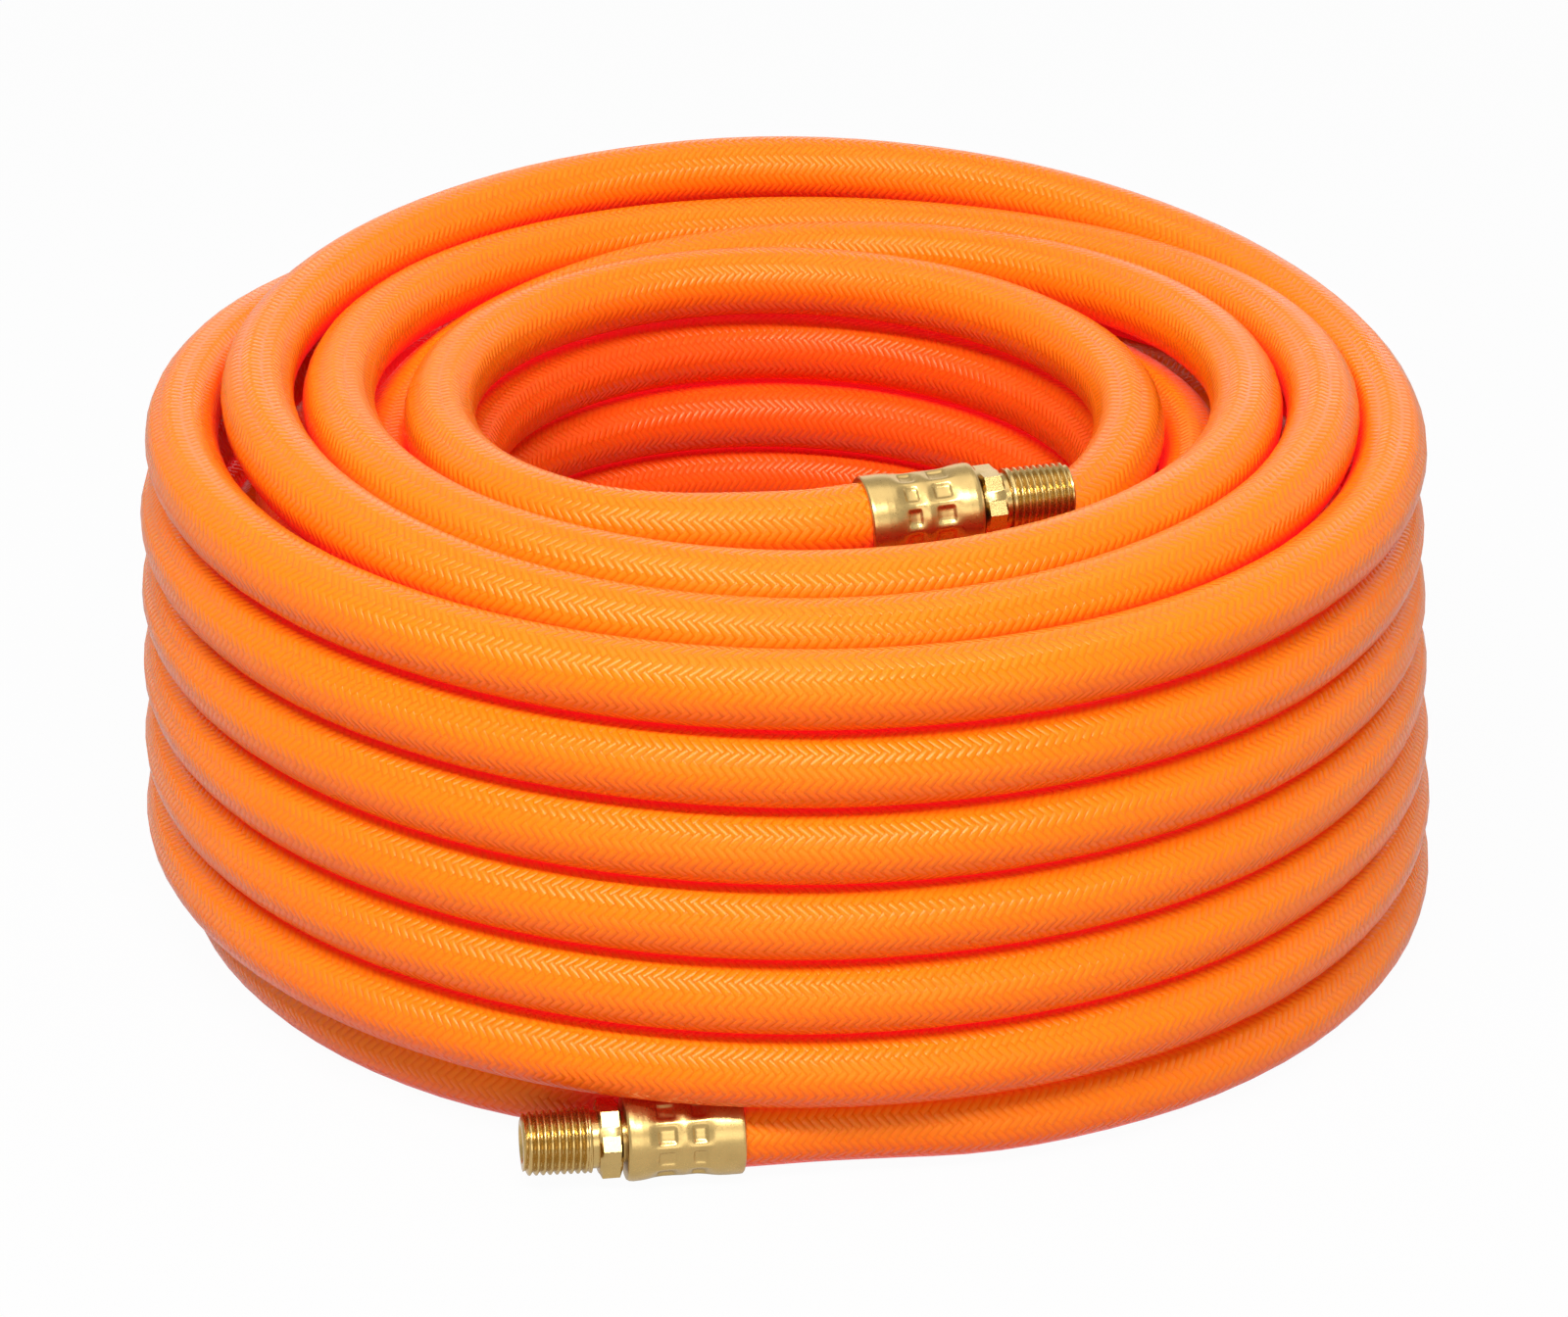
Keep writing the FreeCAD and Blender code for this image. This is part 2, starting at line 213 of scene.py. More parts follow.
def route_points(settings):
    """Control points of the hose's line: sixteen for each turn, and the straight ends."""
    inner = pointing(INNER_TURN, INNER_RISE)
    outer = pointing(OUTER_TURN, OUTER_RISE)
    bite = 0.004
    inner_lead, outer_lead = settings.diameter * 0.9, settings.diameter * 1.3
    end_slope = -3.0
    stations = inner_wall() + hidden_layers() + top_rings() + outer_wall(settings)
    # The smooth line cuts the corners of its control points, so they stand a little further out
    swell = 1 / math.cos(math.pi / (4 * QUARTER_STEPS))
    dense = []
    for index in range(len(stations) - 1):
        radius, height = stations[index]
        next_radius, next_height = stations[index + 1]
        radius_in = math.tan(math.radians(INNER_TURN)) * radius * math.pi / 2
        radius_out, height_in, height_out = end_slope, end_slope, 0.0
        if index:
            radius_in = (next_radius - stations[index - 1][0]) / 2
            height_in = gentle(height - stations[index - 1][1], next_height - height)
        if index + 2 < len(stations):
            radius_out = (stations[index + 2][0] - radius) / 2
            height_out = gentle(next_height - height, stations[index + 2][1] - next_height)
        for step in range(QUARTER_STEPS):
            t = step / QUARTER_STEPS
            dense.append((eased(radius, next_radius, radius_in, radius_out, t),
                          eased(height, next_height, height_in, height_out, t)))
    foot = QUARTER_STEPS * (len(inner_wall()) + FOOT_STATION)
    climb = QUARTER_STEPS * (len(inner_wall() + hidden_layers() + top_rings()) - 3) + 1
    for first, radii in ((foot, FOOT_RADII), (climb, CLIMB_RADII)):
        for index, radius in enumerate(radii, first):
            dense[index] = (radius, dense[index][1])
    last_radius, last_height = stations[-1]
    dense += [(radius, last_height) for radius in (last_radius,) + TAIL_RADII]
    points = [INNER_MOUTH + inner * bite, INNER_MOUTH - inner * bite,
              INNER_MOUTH - inner * inner_lead]
    for index in range(1, len(dense)):
        angle = index / QUARTER_STEPS * math.pi / 2
        radius = dense[index][0] * swell / 1000
        height = max(TOP_ROW + dense[index][1] / 1000, settings.diameter / 2)
        points.append(AXIS + Vector((-radius * math.sin(angle), -radius * math.cos(angle),
                                     height)))
    points += [OUTER_MOUTH - outer * outer_lead, OUTER_MOUTH - outer * bite,
               OUTER_MOUTH + outer * bite]
    return points


def smooth_line(points):
    """The points of a smooth NURBS line along the route."""
    data = bpy.data.curves.new("hose_line", "CURVE")
    data.dimensions = "3D"
    spline = data.splines.new("NURBS")
    spline.points.add(len(points) - 1)
    for place, point in zip(spline.points, points):
        place.co = (*point, 1.0)
    spline.order_u = 3
    spline.use_endpoint_u = True
    spline.resolution_u = 6
    line = bpy.data.objects.new("hose_line", data)
    bpy.context.scene.collection.objects.link(line)
    bpy.context.view_layer.update()
    mesh = bpy.data.meshes.new_from_object(line.evaluated_get(
        bpy.context.evaluated_depsgraph_get()))
    path = np.empty(len(mesh.vertices) * 3)
    mesh.vertices.foreach_get("co", path)
    bpy.data.meshes.remove(mesh)
    bpy.data.objects.remove(line)
    bpy.data.curves.remove(data)
    path = path.reshape(-1, 3)
    closest = 1e-6
    keep = np.ones(len(path), bool)
    keep[1:] = np.linalg.norm(np.diff(path, axis=0), axis=1) > closest
    return path[keep]


def tube_mesh(name, path, radius, sides):
    """Closed round tube along a line, with a UV map of turns around and metres along."""
    count = len(path)
    along = np.gradient(path, axis=0)
    along /= np.linalg.norm(along, axis=1)[:, None]
    side = np.cross(along[0], (0.0, 0.0, 1.0))
    side /= np.linalg.norm(side)
    angles = np.arange(sides) * 2 * math.pi / sides
    verts = np.empty((count, sides, 3))
    for index in range(count):
        side -= along[index] * side.dot(along[index])
        side /= np.linalg.norm(side)
        other = np.cross(along[index], side)
        ring = np.cos(angles)[:, None] * side + np.sin(angles)[:, None] * other
        verts[index] = path[index] + ring * radius
    first = np.arange(count - 1)[:, None] * sides + np.arange(sides)[None, :]
    second = np.arange(count - 1)[:, None] * sides + (np.arange(sides) + 1)[None, :] % sides
    quads = np.stack([first, second, second + sides, first + sides], 2).reshape(-1, 4)
    faces = quads.tolist()
    start, end = count * sides, count * sides + 1
    for step in range(sides):
        after = (step + 1) % sides
        faces.append((after, step, start))
        faces.append(((count - 1) * sides + step, (count - 1) * sides + after, end))
    mesh = bpy.data.meshes.new(name)
    mesh.from_pydata(np.vstack([verts.reshape(-1, 3), path[:1], path[-1:]]).tolist(), [], faces)
    mesh.shade_smooth()
    walked = np.concatenate([[0.0], np.cumsum(np.linalg.norm(np.diff(path, axis=0), axis=1))])
    around = np.arange(sides) / sides
    u = np.stack([around, around + 1 / sides, around + 1 / sides, around], 1)
    u = np.broadcast_to(u, (count - 1, sides, 4))
    v = np.stack([walked[:-1], walked[:-1], walked[1:], walked[1:]], 1)
    v = np.broadcast_to(v[:, None, :], (count - 1, sides, 4))
    ends = np.zeros((sides * 6, 2))
    uv = np.vstack([np.stack([u, v], 3).reshape(-1, 2), ends])
    layer = mesh.uv_layers.new(name="along_hose")
    layer.data.foreach_set("uv", uv.ravel())
    mesh.update()
    return mesh


# Node helpers

class Nodes:
    """Places nodes in a tree and joins them up."""

    def __init__(self, tree):
        self.tree = tree

    def add(self, kind, **values):
        node = self.tree.nodes.new(kind)
        for name, value in values.items():
            setattr(node, name, value)
        return node

    def put(self, value, socket):
        if isinstance(value, bpy.types.NodeSocket):
            self.tree.links.new(value, socket)
        elif value is not None:
            socket.default_value = value

    def math(self, operation, first, second=None):
        node = self.add("ShaderNodeMath", operation=operation)
        for value, socket in zip((first, second), node.inputs):
            self.put(value, socket)
        return node.outputs[0]

    def ramp(self, value, low, high, start=0.0, end=1.0):
        node = self.add("ShaderNodeMapRange", interpolation_type="SMOOTHSTEP")
        for item, name in ((value, "Value"), (low, "From Min"), (high, "From Max"),
                           (start, "To Min"), (end, "To Max")):
            self.put(item, node.inputs[name])
        return node.outputs[0]

    def mix(self, factor, first, second, kind="RGBA"):
        node = self.add("ShaderNodeMix", data_type=kind)
        sockets = [socket for socket in node.inputs if socket.enabled]
        for value, socket in zip((factor, first, second), sockets):
            self.put(value, socket)
        return [socket for socket in node.outputs if socket.enabled][0]


def group_of(name, inputs, outputs):
    """Empty shader group with named sockets."""
    tree = bpy.data.node_groups.new(name, "ShaderNodeTree")
    for label, default in inputs:
        socket = tree.interface.new_socket(label, in_out="INPUT", socket_type="NodeSocketFloat")
        socket.default_value = default
    for label in outputs:
        tree.interface.new_socket(label, in_out="OUTPUT", socket_type="NodeSocketFloat")
    return tree, tree.nodes.new("NodeGroupInput"), tree.nodes.new("NodeGroupOutput")


# Finishes

def braid_relief():
    """Height of a yarn braid under the cover, from turns around and bundles along."""
    tree, inside, outside = group_of(
        "braid_relief", [("Around", 0.0), ("Along", 0.0), ("Roundness", 0.8)], ["Height"])
    nodes = Nodes(tree)
    around, along = inside.outputs["Around"], inside.outputs["Along"]
    rising = nodes.math("ADD", around, along)
    falling = nodes.math("SUBTRACT", around, along)
    row = nodes.math("FLOOR", rising)
    column = nodes.math("FLOOR", falling)
    turn = nodes.math("FLOORED_MODULO", nodes.math("ADD", row, column), 4.0)
    over = nodes.math("LESS_THAN", turn, 2.0)
    heights = []
    for across in (falling, rising):
        bundle = nodes.math("MULTIPLY", nodes.math("PINGPONG", across, 0.5), 2.0)
        heights.append(nodes.math("POWER", nodes.math("SINE", nodes.math(
            "MULTIPLY", bundle, math.pi / 2)), inside.outputs["Roundness"]))
    height = nodes.mix(over, heights[0], heights[1], kind="FLOAT")
    nodes.put(height, outside.inputs["Height"])
    return tree


def surface_wear():
    """Soft patches and fine grain that break up a finish."""
    tree, inside, outside = group_of(
        "surface_wear", [("Patch size", 40.0), ("Grain size", 900.0)], ["Patches", "Grain"])
    nodes = Nodes(tree)
    place = nodes.add("ShaderNodeTexCoord").outputs["Object"]
    for name, label in (("Patch size", "Patches"), ("Grain size", "Grain")):
        noise = nodes.add("ShaderNodeTexNoise")
        nodes.put(place, noise.inputs["Vector"])
        nodes.put(inside.outputs[name], noise.inputs["Scale"])
        nodes.put(noise.outputs["Fac"], outside.inputs[label])
    return tree


def shared(name, maker):
    """The node group of that name, made the first time."""
    return bpy.data.node_groups.get(name) or maker()


def new_material(name):
    """A material, a helper for its nodes, and its shader."""
    material = bpy.data.materials.new(name)
    material.use_nodes = True
    tree = material.node_tree
    return material, Nodes(tree), tree.nodes["Principled BSDF"]


def hose_material(settings):
    """Orange cover over a yarn braid; painted shade makes it redder underneath, in the seams and
    in the hole.
    """
    material, nodes, shader = new_material("orange_hose")
    cover, yarn = (*settings.colour, 1.0), (0.97, 0.24, 0.008, 1.0)
    # Colours of painted shade (underside, hole wall, seams) and of the painted red glow in the
    # seams
    underside_shade_colour, hole_shade_colour = (0.95, 0.07, 0.004, 1.0), (0.93, 0.035, 0.008, 1.0)
    seam_shade_colour, painted_seam_glow, no_glow = (0.92, 0.026, 0.01, 1.0), (1.0, 0.016, 0.03, 1.0), (0, 0, 0, 1)
    relief, seam_shade_reach = 0.00017, 0.018
    uv = nodes.add("ShaderNodeUVMap", uv_map="along_hose").outputs["UV"]
    parts = nodes.add("ShaderNodeSeparateXYZ")
    nodes.put(uv, parts.inputs[0])
    around = nodes.math("MULTIPLY", parts.outputs[0], float(settings.carriers))
    step = settings.diameter * math.pi / settings.carriers / math.tan(settings.braid_angle)
    along = nodes.math("DIVIDE", parts.outputs[1], step)
    braid = nodes.add("ShaderNodeGroup", node_tree=shared("braid_relief", braid_relief))
    nodes.put(around, braid.inputs["Around"])
    nodes.put(along, braid.inputs["Along"])
    wear = nodes.add("ShaderNodeGroup", node_tree=shared("surface_wear", surface_wear))
    bump = nodes.add("ShaderNodeBump")
    bump.inputs["Strength"].default_value = 1.0
    bump.inputs["Distance"].default_value = relief
    nodes.put(braid.outputs["Height"], bump.inputs["Height"])
    nodes.put(bump.outputs["Normal"], shader.inputs["Normal"])
    pale = nodes.ramp(braid.outputs["Height"], 0.3, 1.0, 0.0, 0.45)
    colour = nodes.mix(pale, cover, yarn)
    # Painted shade: the downward-facing side of the hose is mixed toward a redder colour
    facing = nodes.add("ShaderNodeSeparateXYZ")
    nodes.put(nodes.add("ShaderNodeNewGeometry").outputs["Normal"], facing.inputs[0])
    underside_shade_mask = nodes.ramp(facing.outputs[2], 0.45, -0.85, 0.0, 0.8)
    colour = nodes.mix(underside_shade_mask, colour, underside_shade_colour)
    # Painted shade: crevices between turns, found by ambient occlusion, are mixed toward deep red
    open_sky = nodes.add("ShaderNodeAmbientOcclusion", samples=8)
    open_sky.inputs["Distance"].default_value = seam_shade_reach
    shade = nodes.ramp(open_sky.outputs["AO"], 0.03, 0.46, 1.0, 0.0)
    colour = nodes.mix(shade, colour, seam_shade_colour)
    # Painted shade: the wall of the hole in the middle of the coil is mixed toward deep red
    place = nodes.add("ShaderNodeSeparateXYZ")
    nodes.put(nodes.add("ShaderNodeTexCoord").outputs["Object"], place.inputs[0])
    squares = [nodes.math("POWER", nodes.math("SUBTRACT", place.outputs[index], middle), 2.0)
               for index, middle in enumerate((AXIS.x, AXIS.y))]
    away = nodes.math("SQRT", nodes.math("ADD", *squares))
    hole_shade_mask = nodes.math("MULTIPLY", nodes.ramp(away, 0.084, 0.071, 0.0, 0.62),
                         nodes.ramp(place.outputs[2], 0.122, 0.098))
    colour = nodes.mix(hole_shade_mask, colour, hole_shade_colour)
    nodes.put(colour, shader.inputs["Base Color"])
    # Painted glow: the seams where two turns touch give off red light of their own
    painted_glow = nodes.mix(nodes.ramp(open_sky.outputs["AO"], 0.0, 0.36, 1.0, 0.0), no_glow,
                     painted_seam_glow)
    nodes.put(painted_glow, shader.inputs["Emission Color"])
    shader.inputs["Emission Strength"].default_value = 0.25
    rough = nodes.ramp(wear.outputs["Patches"], 0.3, 0.7, 0.24, 0.31)
    nodes.put(rough, shader.inputs["Roughness"])
    shader.inputs["Subsurface Weight"].default_value = 0.3
    shader.inputs["Subsurface Radius"].default_value = (1.0, 0.15, 0.02)
    shader.inputs["Subsurface Scale"].default_value = 0.003
    shader.inputs["IOR"].default_value = 1.45
    shader.inputs["Specular IOR Level"].default_value = 0.35
    shader.inputs["Specular Tint"].default_value = (1.0, 0.78, 0.5, 1.0)
    return material


def brass_material(name, colour, rough):
    """Turned brass: fine tool lines around the axis and slight tarnish."""
    material, nodes, shader = new_material(name)
    tool_lines_per_metre, tool_line_depth = 5000.0, 0.000006
    tarnished = tuple(value * 0.8 for value in colour)
    shader.inputs["Metallic"].default_value = 1.0
    uv = nodes.add("ShaderNodeUVMap", uv_map="turned").outputs["UV"]
    parts = nodes.add("ShaderNodeSeparateXYZ")
    nodes.put(uv, parts.inputs[0])
    lines = nodes.add("ShaderNodeTexNoise", noise_dimensions="1D")
    nodes.put(parts.outputs[0], lines.inputs["W"])
    lines.inputs["Scale"].default_value = tool_lines_per_metre
    wear = nodes.add("ShaderNodeGroup", node_tree=shared("surface_wear", surface_wear))
    wear.inputs["Patch size"].default_value = 260.0
    wear.inputs["Grain size"].default_value = 3000.0
    bump = nodes.add("ShaderNodeBump")
    bump.inputs["Strength"].default_value = 0.2
    bump.inputs["Distance"].default_value = tool_line_depth
    nodes.put(lines.outputs["Fac"], bump.inputs["Height"])
    nodes.put(bump.outputs["Normal"], shader.inputs["Normal"])
    tarnish = nodes.ramp(wear.outputs["Patches"], 0.35, 0.75, 0.0, 0.5)
    nodes.put(nodes.mix(tarnish, (*colour, 1.0), (*tarnished, 1.0)),
              shader.inputs["Base Color"])
    nodes.put(nodes.ramp(wear.outputs["Grain"], 0.2, 0.8, rough - 0.04, rough + 0.05),
              shader.inputs["Roughness"])
    return material


# Fittings, made along +X from the mouth of the ferrule and then put in place

def turned_blank(name, profile, columns):
    """Closed surface of revolution about X from (distance, radius) points in millimetres."""
    rows = len(profile)
    angles = np.arange(columns) * 2 * math.pi / columns
    verts = []
    for distance, radius in profile:
        for angle in angles:
            verts.append((distance / 1000, radius / 1000 * math.sin(angle),
                          radius / 1000 * math.cos(angle)))
    faces = []
    uvs = []
    walked = [0.0]
    for row in range(1, rows + 1):
        a, b = profile[row - 1], profile[row % rows]
        walked.append(walked[-1] + math.hypot(b[0] - a[0], b[1] - a[1]) / 1000)
    for row in range(rows):
        below = (row + 1) % rows
        for column in range(columns):
            after = (column + 1) % columns
            faces.append((row * columns + column, row * columns + after,
                          below * columns + after, below * columns + column))
            start, end = column / columns, (column + 1) / columns
            uvs += [(walked[row], start), (walked[row], end), (walked[row + 1], end),
                    (walked[row + 1], start)]
    mesh = bpy.data.meshes.new(name)
    mesh.from_pydata(verts, [], faces)
    layer = mesh.uv_layers.new(name="turned")
    layer.data.foreach_set("uv", np.array(uvs).ravel())
    return mesh


def filled_in(profile, step):
    """The same profile with more points along its long stretches."""
    points = []
    for (x0, r0), (x1, r1) in zip(profile, profile[1:]):
        count = max(1, int(math.ceil(math.hypot(x1 - x0, r1 - r0) / step)))
        for index in range(count):
            t = index / count
            points.append((x0 + (x1 - x0) * t, r0 + (r1 - r0) * t))
    points.append(profile[-1])
    return points


def shaping_tree(name, inputs):
    """Geometry node tree with the inputs, ready for a rule that moves the surface."""
    tree = bpy.data.node_groups.new(name, "GeometryNodeTree")
    tree.interface.new_socket("Geometry", in_out="INPUT", socket_type="NodeSocketGeometry")
    for label, kind, default in inputs:
        socket = tree.interface.new_socket(label, in_out="INPUT", socket_type=kind)
        if default is not None:
            socket.default_value = default
    tree.interface.new_socket("Material", in_out="INPUT", socket_type="NodeSocketMaterial")
    tree.interface.new_socket("Geometry", in_out="OUTPUT", socket_type="NodeSocketGeometry")
    return tree, tree.nodes.new("NodeGroupInput"), tree.nodes.new("NodeGroupOutput")


def polar_position(nodes):
    """Distance along the axis, radius and angle of each point."""
    position = nodes.add("GeometryNodeInputPosition").outputs[0]
    parts = nodes.add("ShaderNodeSeparateXYZ")
    nodes.put(position, parts.inputs[0])
    x, y, z = parts.outputs
    square = nodes.math("ADD", nodes.math("MULTIPLY", y, y), nodes.math("MULTIPLY", z, z))
    radius = nodes.math("SQRT", square)
    angle = nodes.math("ARCTAN2", y, z)
    return x, y, z, radius, angle


def finish_shaping(nodes, inside, outside, x, y, z, radius, new_radius):
    """Move each point to its new radius, and give the result its material."""
    scale = nodes.math("DIVIDE", new_radius, nodes.math("MAXIMUM", radius, 1e-6))
    place = nodes.add("ShaderNodeCombineXYZ")
    nodes.put(x, place.inputs[0])
    nodes.put(nodes.math("MULTIPLY", y, scale), place.inputs[1])
    nodes.put(nodes.math("MULTIPLY", z, scale), place.inputs[2])
    move = nodes.add("GeometryNodeSetPosition")
    nodes.put(inside.outputs["Geometry"], move.inputs["Geometry"])
    nodes.put(place.outputs[0], move.inputs["Position"])
    real = nodes.add("GeometryNodeRealizeInstances")
    nodes.put(move.outputs[0], real.inputs[0])
    paint = nodes.add("GeometryNodeSetMaterial")
    nodes.put(real.outputs[0], paint.inputs["Geometry"])
    nodes.put(inside.outputs["Material"], paint.inputs["Material"])
    nodes.put(paint.outputs[0], outside.inputs[0])


def thread_rule():
    """Cuts a tapered pipe thread into the outside of a turned blank."""
    tree, inside, outside = shaping_tree("cut_thread", [
        ("Pitch", "NodeSocketFloat", 0.001411), ("Depth", "NodeSocketFloat", 0.0008),
        ("First", "NodeSocketFloat", 0.031), ("Last", "NodeSocketFloat", 0.045),
        ("Least radius", "NodeSocketFloat", 0.005)])
    nodes = Nodes(tree)
    flank_slope = 1.25
    x, y, z, radius, angle = polar_position(nodes)
    turns = nodes.math("SUBTRACT", nodes.math("DIVIDE", x, inside.outputs["Pitch"]),
                       nodes.math("DIVIDE", angle, 2 * math.pi))
    flank = nodes.math("MULTIPLY", nodes.math("PINGPONG", turns, 0.5), 2.0)
    crest = nodes.math("MINIMUM", nodes.math("MULTIPLY", flank, flank_slope), 1.0)
    groove = nodes.math("SUBTRACT", 1.0, crest)
    run_in = nodes.ramp(x, inside.outputs["First"],
                        nodes.math("ADD", inside.outputs["First"], inside.outputs["Pitch"]))
    on = nodes.math("GREATER_THAN", radius, inside.outputs["Least radius"])
    cut = nodes.math("MULTIPLY", nodes.math("MULTIPLY", groove, run_in), on)
    depth = nodes.math("MULTIPLY", cut, inside.outputs["Depth"])
    finish_shaping(nodes, inside, outside, x, y, z, radius,
                   nodes.math("SUBTRACT", radius, depth))
    return tree


def crimp_rule():
    """Presses rows of marks into a ferrule, each in its own shallow hollow."""
    tree, inside, outside = shaping_tree("press_crimps", [
        ("Around", "NodeSocketFloat", 10.0), ("Depth", "NodeSocketFloat", 0.0009),
        ("First row", "NodeSocketFloat", 0.0092), ("First length", "NodeSocketFloat", 0.0026),
        ("Second row", "NodeSocketFloat", 0.0159), ("Second length", "NodeSocketFloat", 0.0035),
        ("Width", "NodeSocketFloat", 0.0032), ("Least radius", "NodeSocketFloat", 0.0078)])
    nodes = Nodes(tree)
    sharp_edge, soft_end, soft_side = (-0.00025, 0.0003), (-0.001, 0.0022), (-0.0012, 0.0017)
    mark_share = 0.35
    x, y, z, radius, angle = polar_position(nodes)
    share = nodes.math("MULTIPLY", angle, nodes.math("DIVIDE", inside.outputs["Around"],
                                                     2 * math.pi))
    offset = nodes.math("ABSOLUTE", nodes.math("SUBTRACT", share, nodes.math("ROUND", share)))
    sideways = nodes.math("MULTIPLY", offset, nodes.math(
        "DIVIDE", nodes.math("MULTIPLY", radius, 2 * math.pi), inside.outputs["Around"]))
    past_side = nodes.math("SUBTRACT", sideways,
                           nodes.math("MULTIPLY", inside.outputs["Width"], 0.5))
    total = 0.0
    for row in ("First", "Second"):
        away = nodes.math("ABSOLUTE", nodes.math("SUBTRACT", x, inside.outputs[row + " row"]))
        half = nodes.math("MULTIPLY", inside.outputs[row + " length"], 0.5)
        past_end = nodes.math("SUBTRACT", away, half)
        sharp = nodes.math("MULTIPLY", nodes.ramp(past_end, *sharp_edge, 1.0, 0.0),
                           nodes.ramp(past_side, *sharp_edge, 1.0, 0.0))
        soft = nodes.math("MULTIPLY", nodes.ramp(past_end, *soft_end, 1.0, 0.0),
                          nodes.ramp(past_side, *soft_side, 1.0, 0.0))
        mark = nodes.math("MULTIPLY", sharp, mark_share)
        hollow = nodes.math("MULTIPLY", soft, 1.0 - mark_share)
        total = nodes.math("ADD", nodes.math("ADD", mark, hollow), total)
    on = nodes.math("GREATER_THAN", radius, inside.outputs["Least radius"])
    depth = nodes.math("MULTIPLY", nodes.math("MULTIPLY", total, on), inside.outputs["Depth"])
    finish_shaping(nodes, inside, outside, x, y, z, radius,
                   nodes.math("SUBTRACT", radius, depth))
    return tree


def shaped(mesh, tree, values):
    """The mesh after a geometry node rule, as a plain mesh."""
    piece = bpy.data.objects.new(mesh.name + "_blank", mesh)
    bpy.context.scene.collection.objects.link(piece)
    modifier = piece.modifiers.new(tree.name, "NODES")
    modifier.node_group = tree
    for item in tree.interface.items_tree:
        if item.in_out == "INPUT" and item.name in values:
            modifier[item.identifier] = values[item.name]
    bpy.context.view_layer.update()
    evaluated = piece.evaluated_get(bpy.context.evaluated_depsgraph_get())
    result = bpy.data.meshes.new_from_object(evaluated)
    piece.modifiers.remove(modifier)
    bpy.data.objects.remove(piece)
    return result


def put_in_place(mesh, name, mouth, turn, rise, roll, node, sharp):
    """Places a fitting piece at one end of the hose, instead of its plain solid."""
    mesh = mesh.copy()
    mesh.name = name
    mesh.transform(Matrix.Translation(mouth) @ Matrix.Rotation(math.radians(turn), 4, "Z")
                   @ Matrix.Rotation(math.radians(-rise), 4, "Y")
                   @ Matrix.Rotation(math.radians(roll), 4, "X"))
    mesh.shade_smooth()
    mesh.set_sharp_from_angle(angle=math.radians(sharp))
    piece = bpy.data.objects.new(name, mesh)
    bpy.context.scene.collection.objects.link(piece)
    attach(piece, "root")
    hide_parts(node)


def ferrule_mesh(settings, material):
    """Sleeve with a rolled rim at each end, a closed bottom and pressed crimp marks."""
    fineness, columns = 0.22, 176
    outside = [(0.0, 7.98), (0.0, 8.9), (0.25, 9.18), (0.7, 9.25), (3.4, 9.25), (5.0, 9.17),
               (6.5, 8.98), (8.0, 8.76), (9.5, 8.62), (16.5, 8.6), (18.2, 8.7), (19.6, 8.88),
               (21.0, 9.05), (22.6, 9.12), (23.4, 9.0), (23.85, 8.7), (24.0, 8.3), (24.0, 5.25)]
    inside = [(22.6, 5.25), (22.6, 7.3), (6.4, 7.3), (5.2, 7.98)]
    blank = turned_blank("ferrule", filled_in(outside, fineness) + inside, columns)
    return shaped(blank, shared("press_crimps", crimp_rule), {
        "Around": float(settings.crimps_around), "Depth": settings.crimp_depth,
        "Material": material})


def hexagon_radius(flats, angle):
    """Radius of a hexagon at an angle from one of its corners."""
    return flats / 2 / math.cos(angle % (math.pi / 3) - math.pi / 6)


def nipple_mesh(settings, material):
    """The nipple outside the ferrule: neck, hexagon, tapered male thread and bore."""
    bore, neck, flats = 3.2, 5.2, 14.3
    thread_start, thread_end = 30.8, 44.8
    large, small = 6.85, 6.41
    fineness, columns = 0.1176, 120
    profile = [(23.0, bore), (23.0, neck), (24.7, neck), (24.7, 5.9), (24.7, 6.7)]
    hexagon_rows = [(24.75, 6.9), (25.3, 9.0), (28.9, 9.0), (29.45, 6.9)]
    first_row = len(profile)
    profile += hexagon_rows
    profile += [(29.5, 6.7), (29.5, 5.95), (30.7, 5.95), (30.9, 6.75)]
    thread = filled_in([(31.0, large), (thread_end - 0.9, small + 0.03),
                        (thread_end, small - 0.85)], fineness)
    profile += thread + [(thread_end, 5.2), (thread_end, 4.1), (thread_end - 0.7, 3.35),
                         (thread_end - 1.2, bore), (thread_end - 8.0, bore)]
    blank = turned_blank("nipple", profile, columns)
    for row, (_, limit) in enumerate(hexagon_rows, first_row):
        for column in range(columns):
            angle = 2 * math.pi * column / columns
            vertex = blank.vertices[row * columns + column]
            radius = min(hexagon_radius(flats, angle), limit) / 1000
            vertex.co.y = radius * math.sin(angle)
            vertex.co.z = radius * math.cos(angle)
    return shaped(blank, shared("cut_thread", thread_rule), {
        "Pitch": settings.thread_pitch, "Depth": settings.thread_depth,
        "First": thread_start / 1000, "Last": thread_end / 1000, "Material": material})


# Operators

class HOSE_OT_fit_ends(bpy.types.Operator):
    """Put a crimped ferrule and a threaded nipple on each end of the hose"""
    bl_idname = "hose.fit_ends"
    bl_label = "Fit the ends"

    def execute(self, context):
        settings = context.scene.hose_fittings
        colour = tuple(settings.colour)
        nipple_roughness, ferrule_roughness = 0.24, 0.30
        nipple_sharp, ferrule_sharp = 28.0, 35.0
        nipple = nipple_mesh(settings, brass_material("brass_turned", colour, nipple_roughness))
        ferrule = ferrule_mesh(settings, brass_material("brass_sleeve", colour,
                                                        ferrule_roughness))
        for name, mouth, turn, rise, roll, crimp_roll in ENDS:
            put_in_place(nipple, name + "_threaded_nipple", mouth, turn, rise, roll,
                         name + "_nipple", nipple_sharp)
            put_in_place(ferrule, name + "_crimped_ferrule", mouth, turn, rise, crimp_roll,
                         name + "_ferrule", ferrule_sharp)
        return {"FINISHED"}


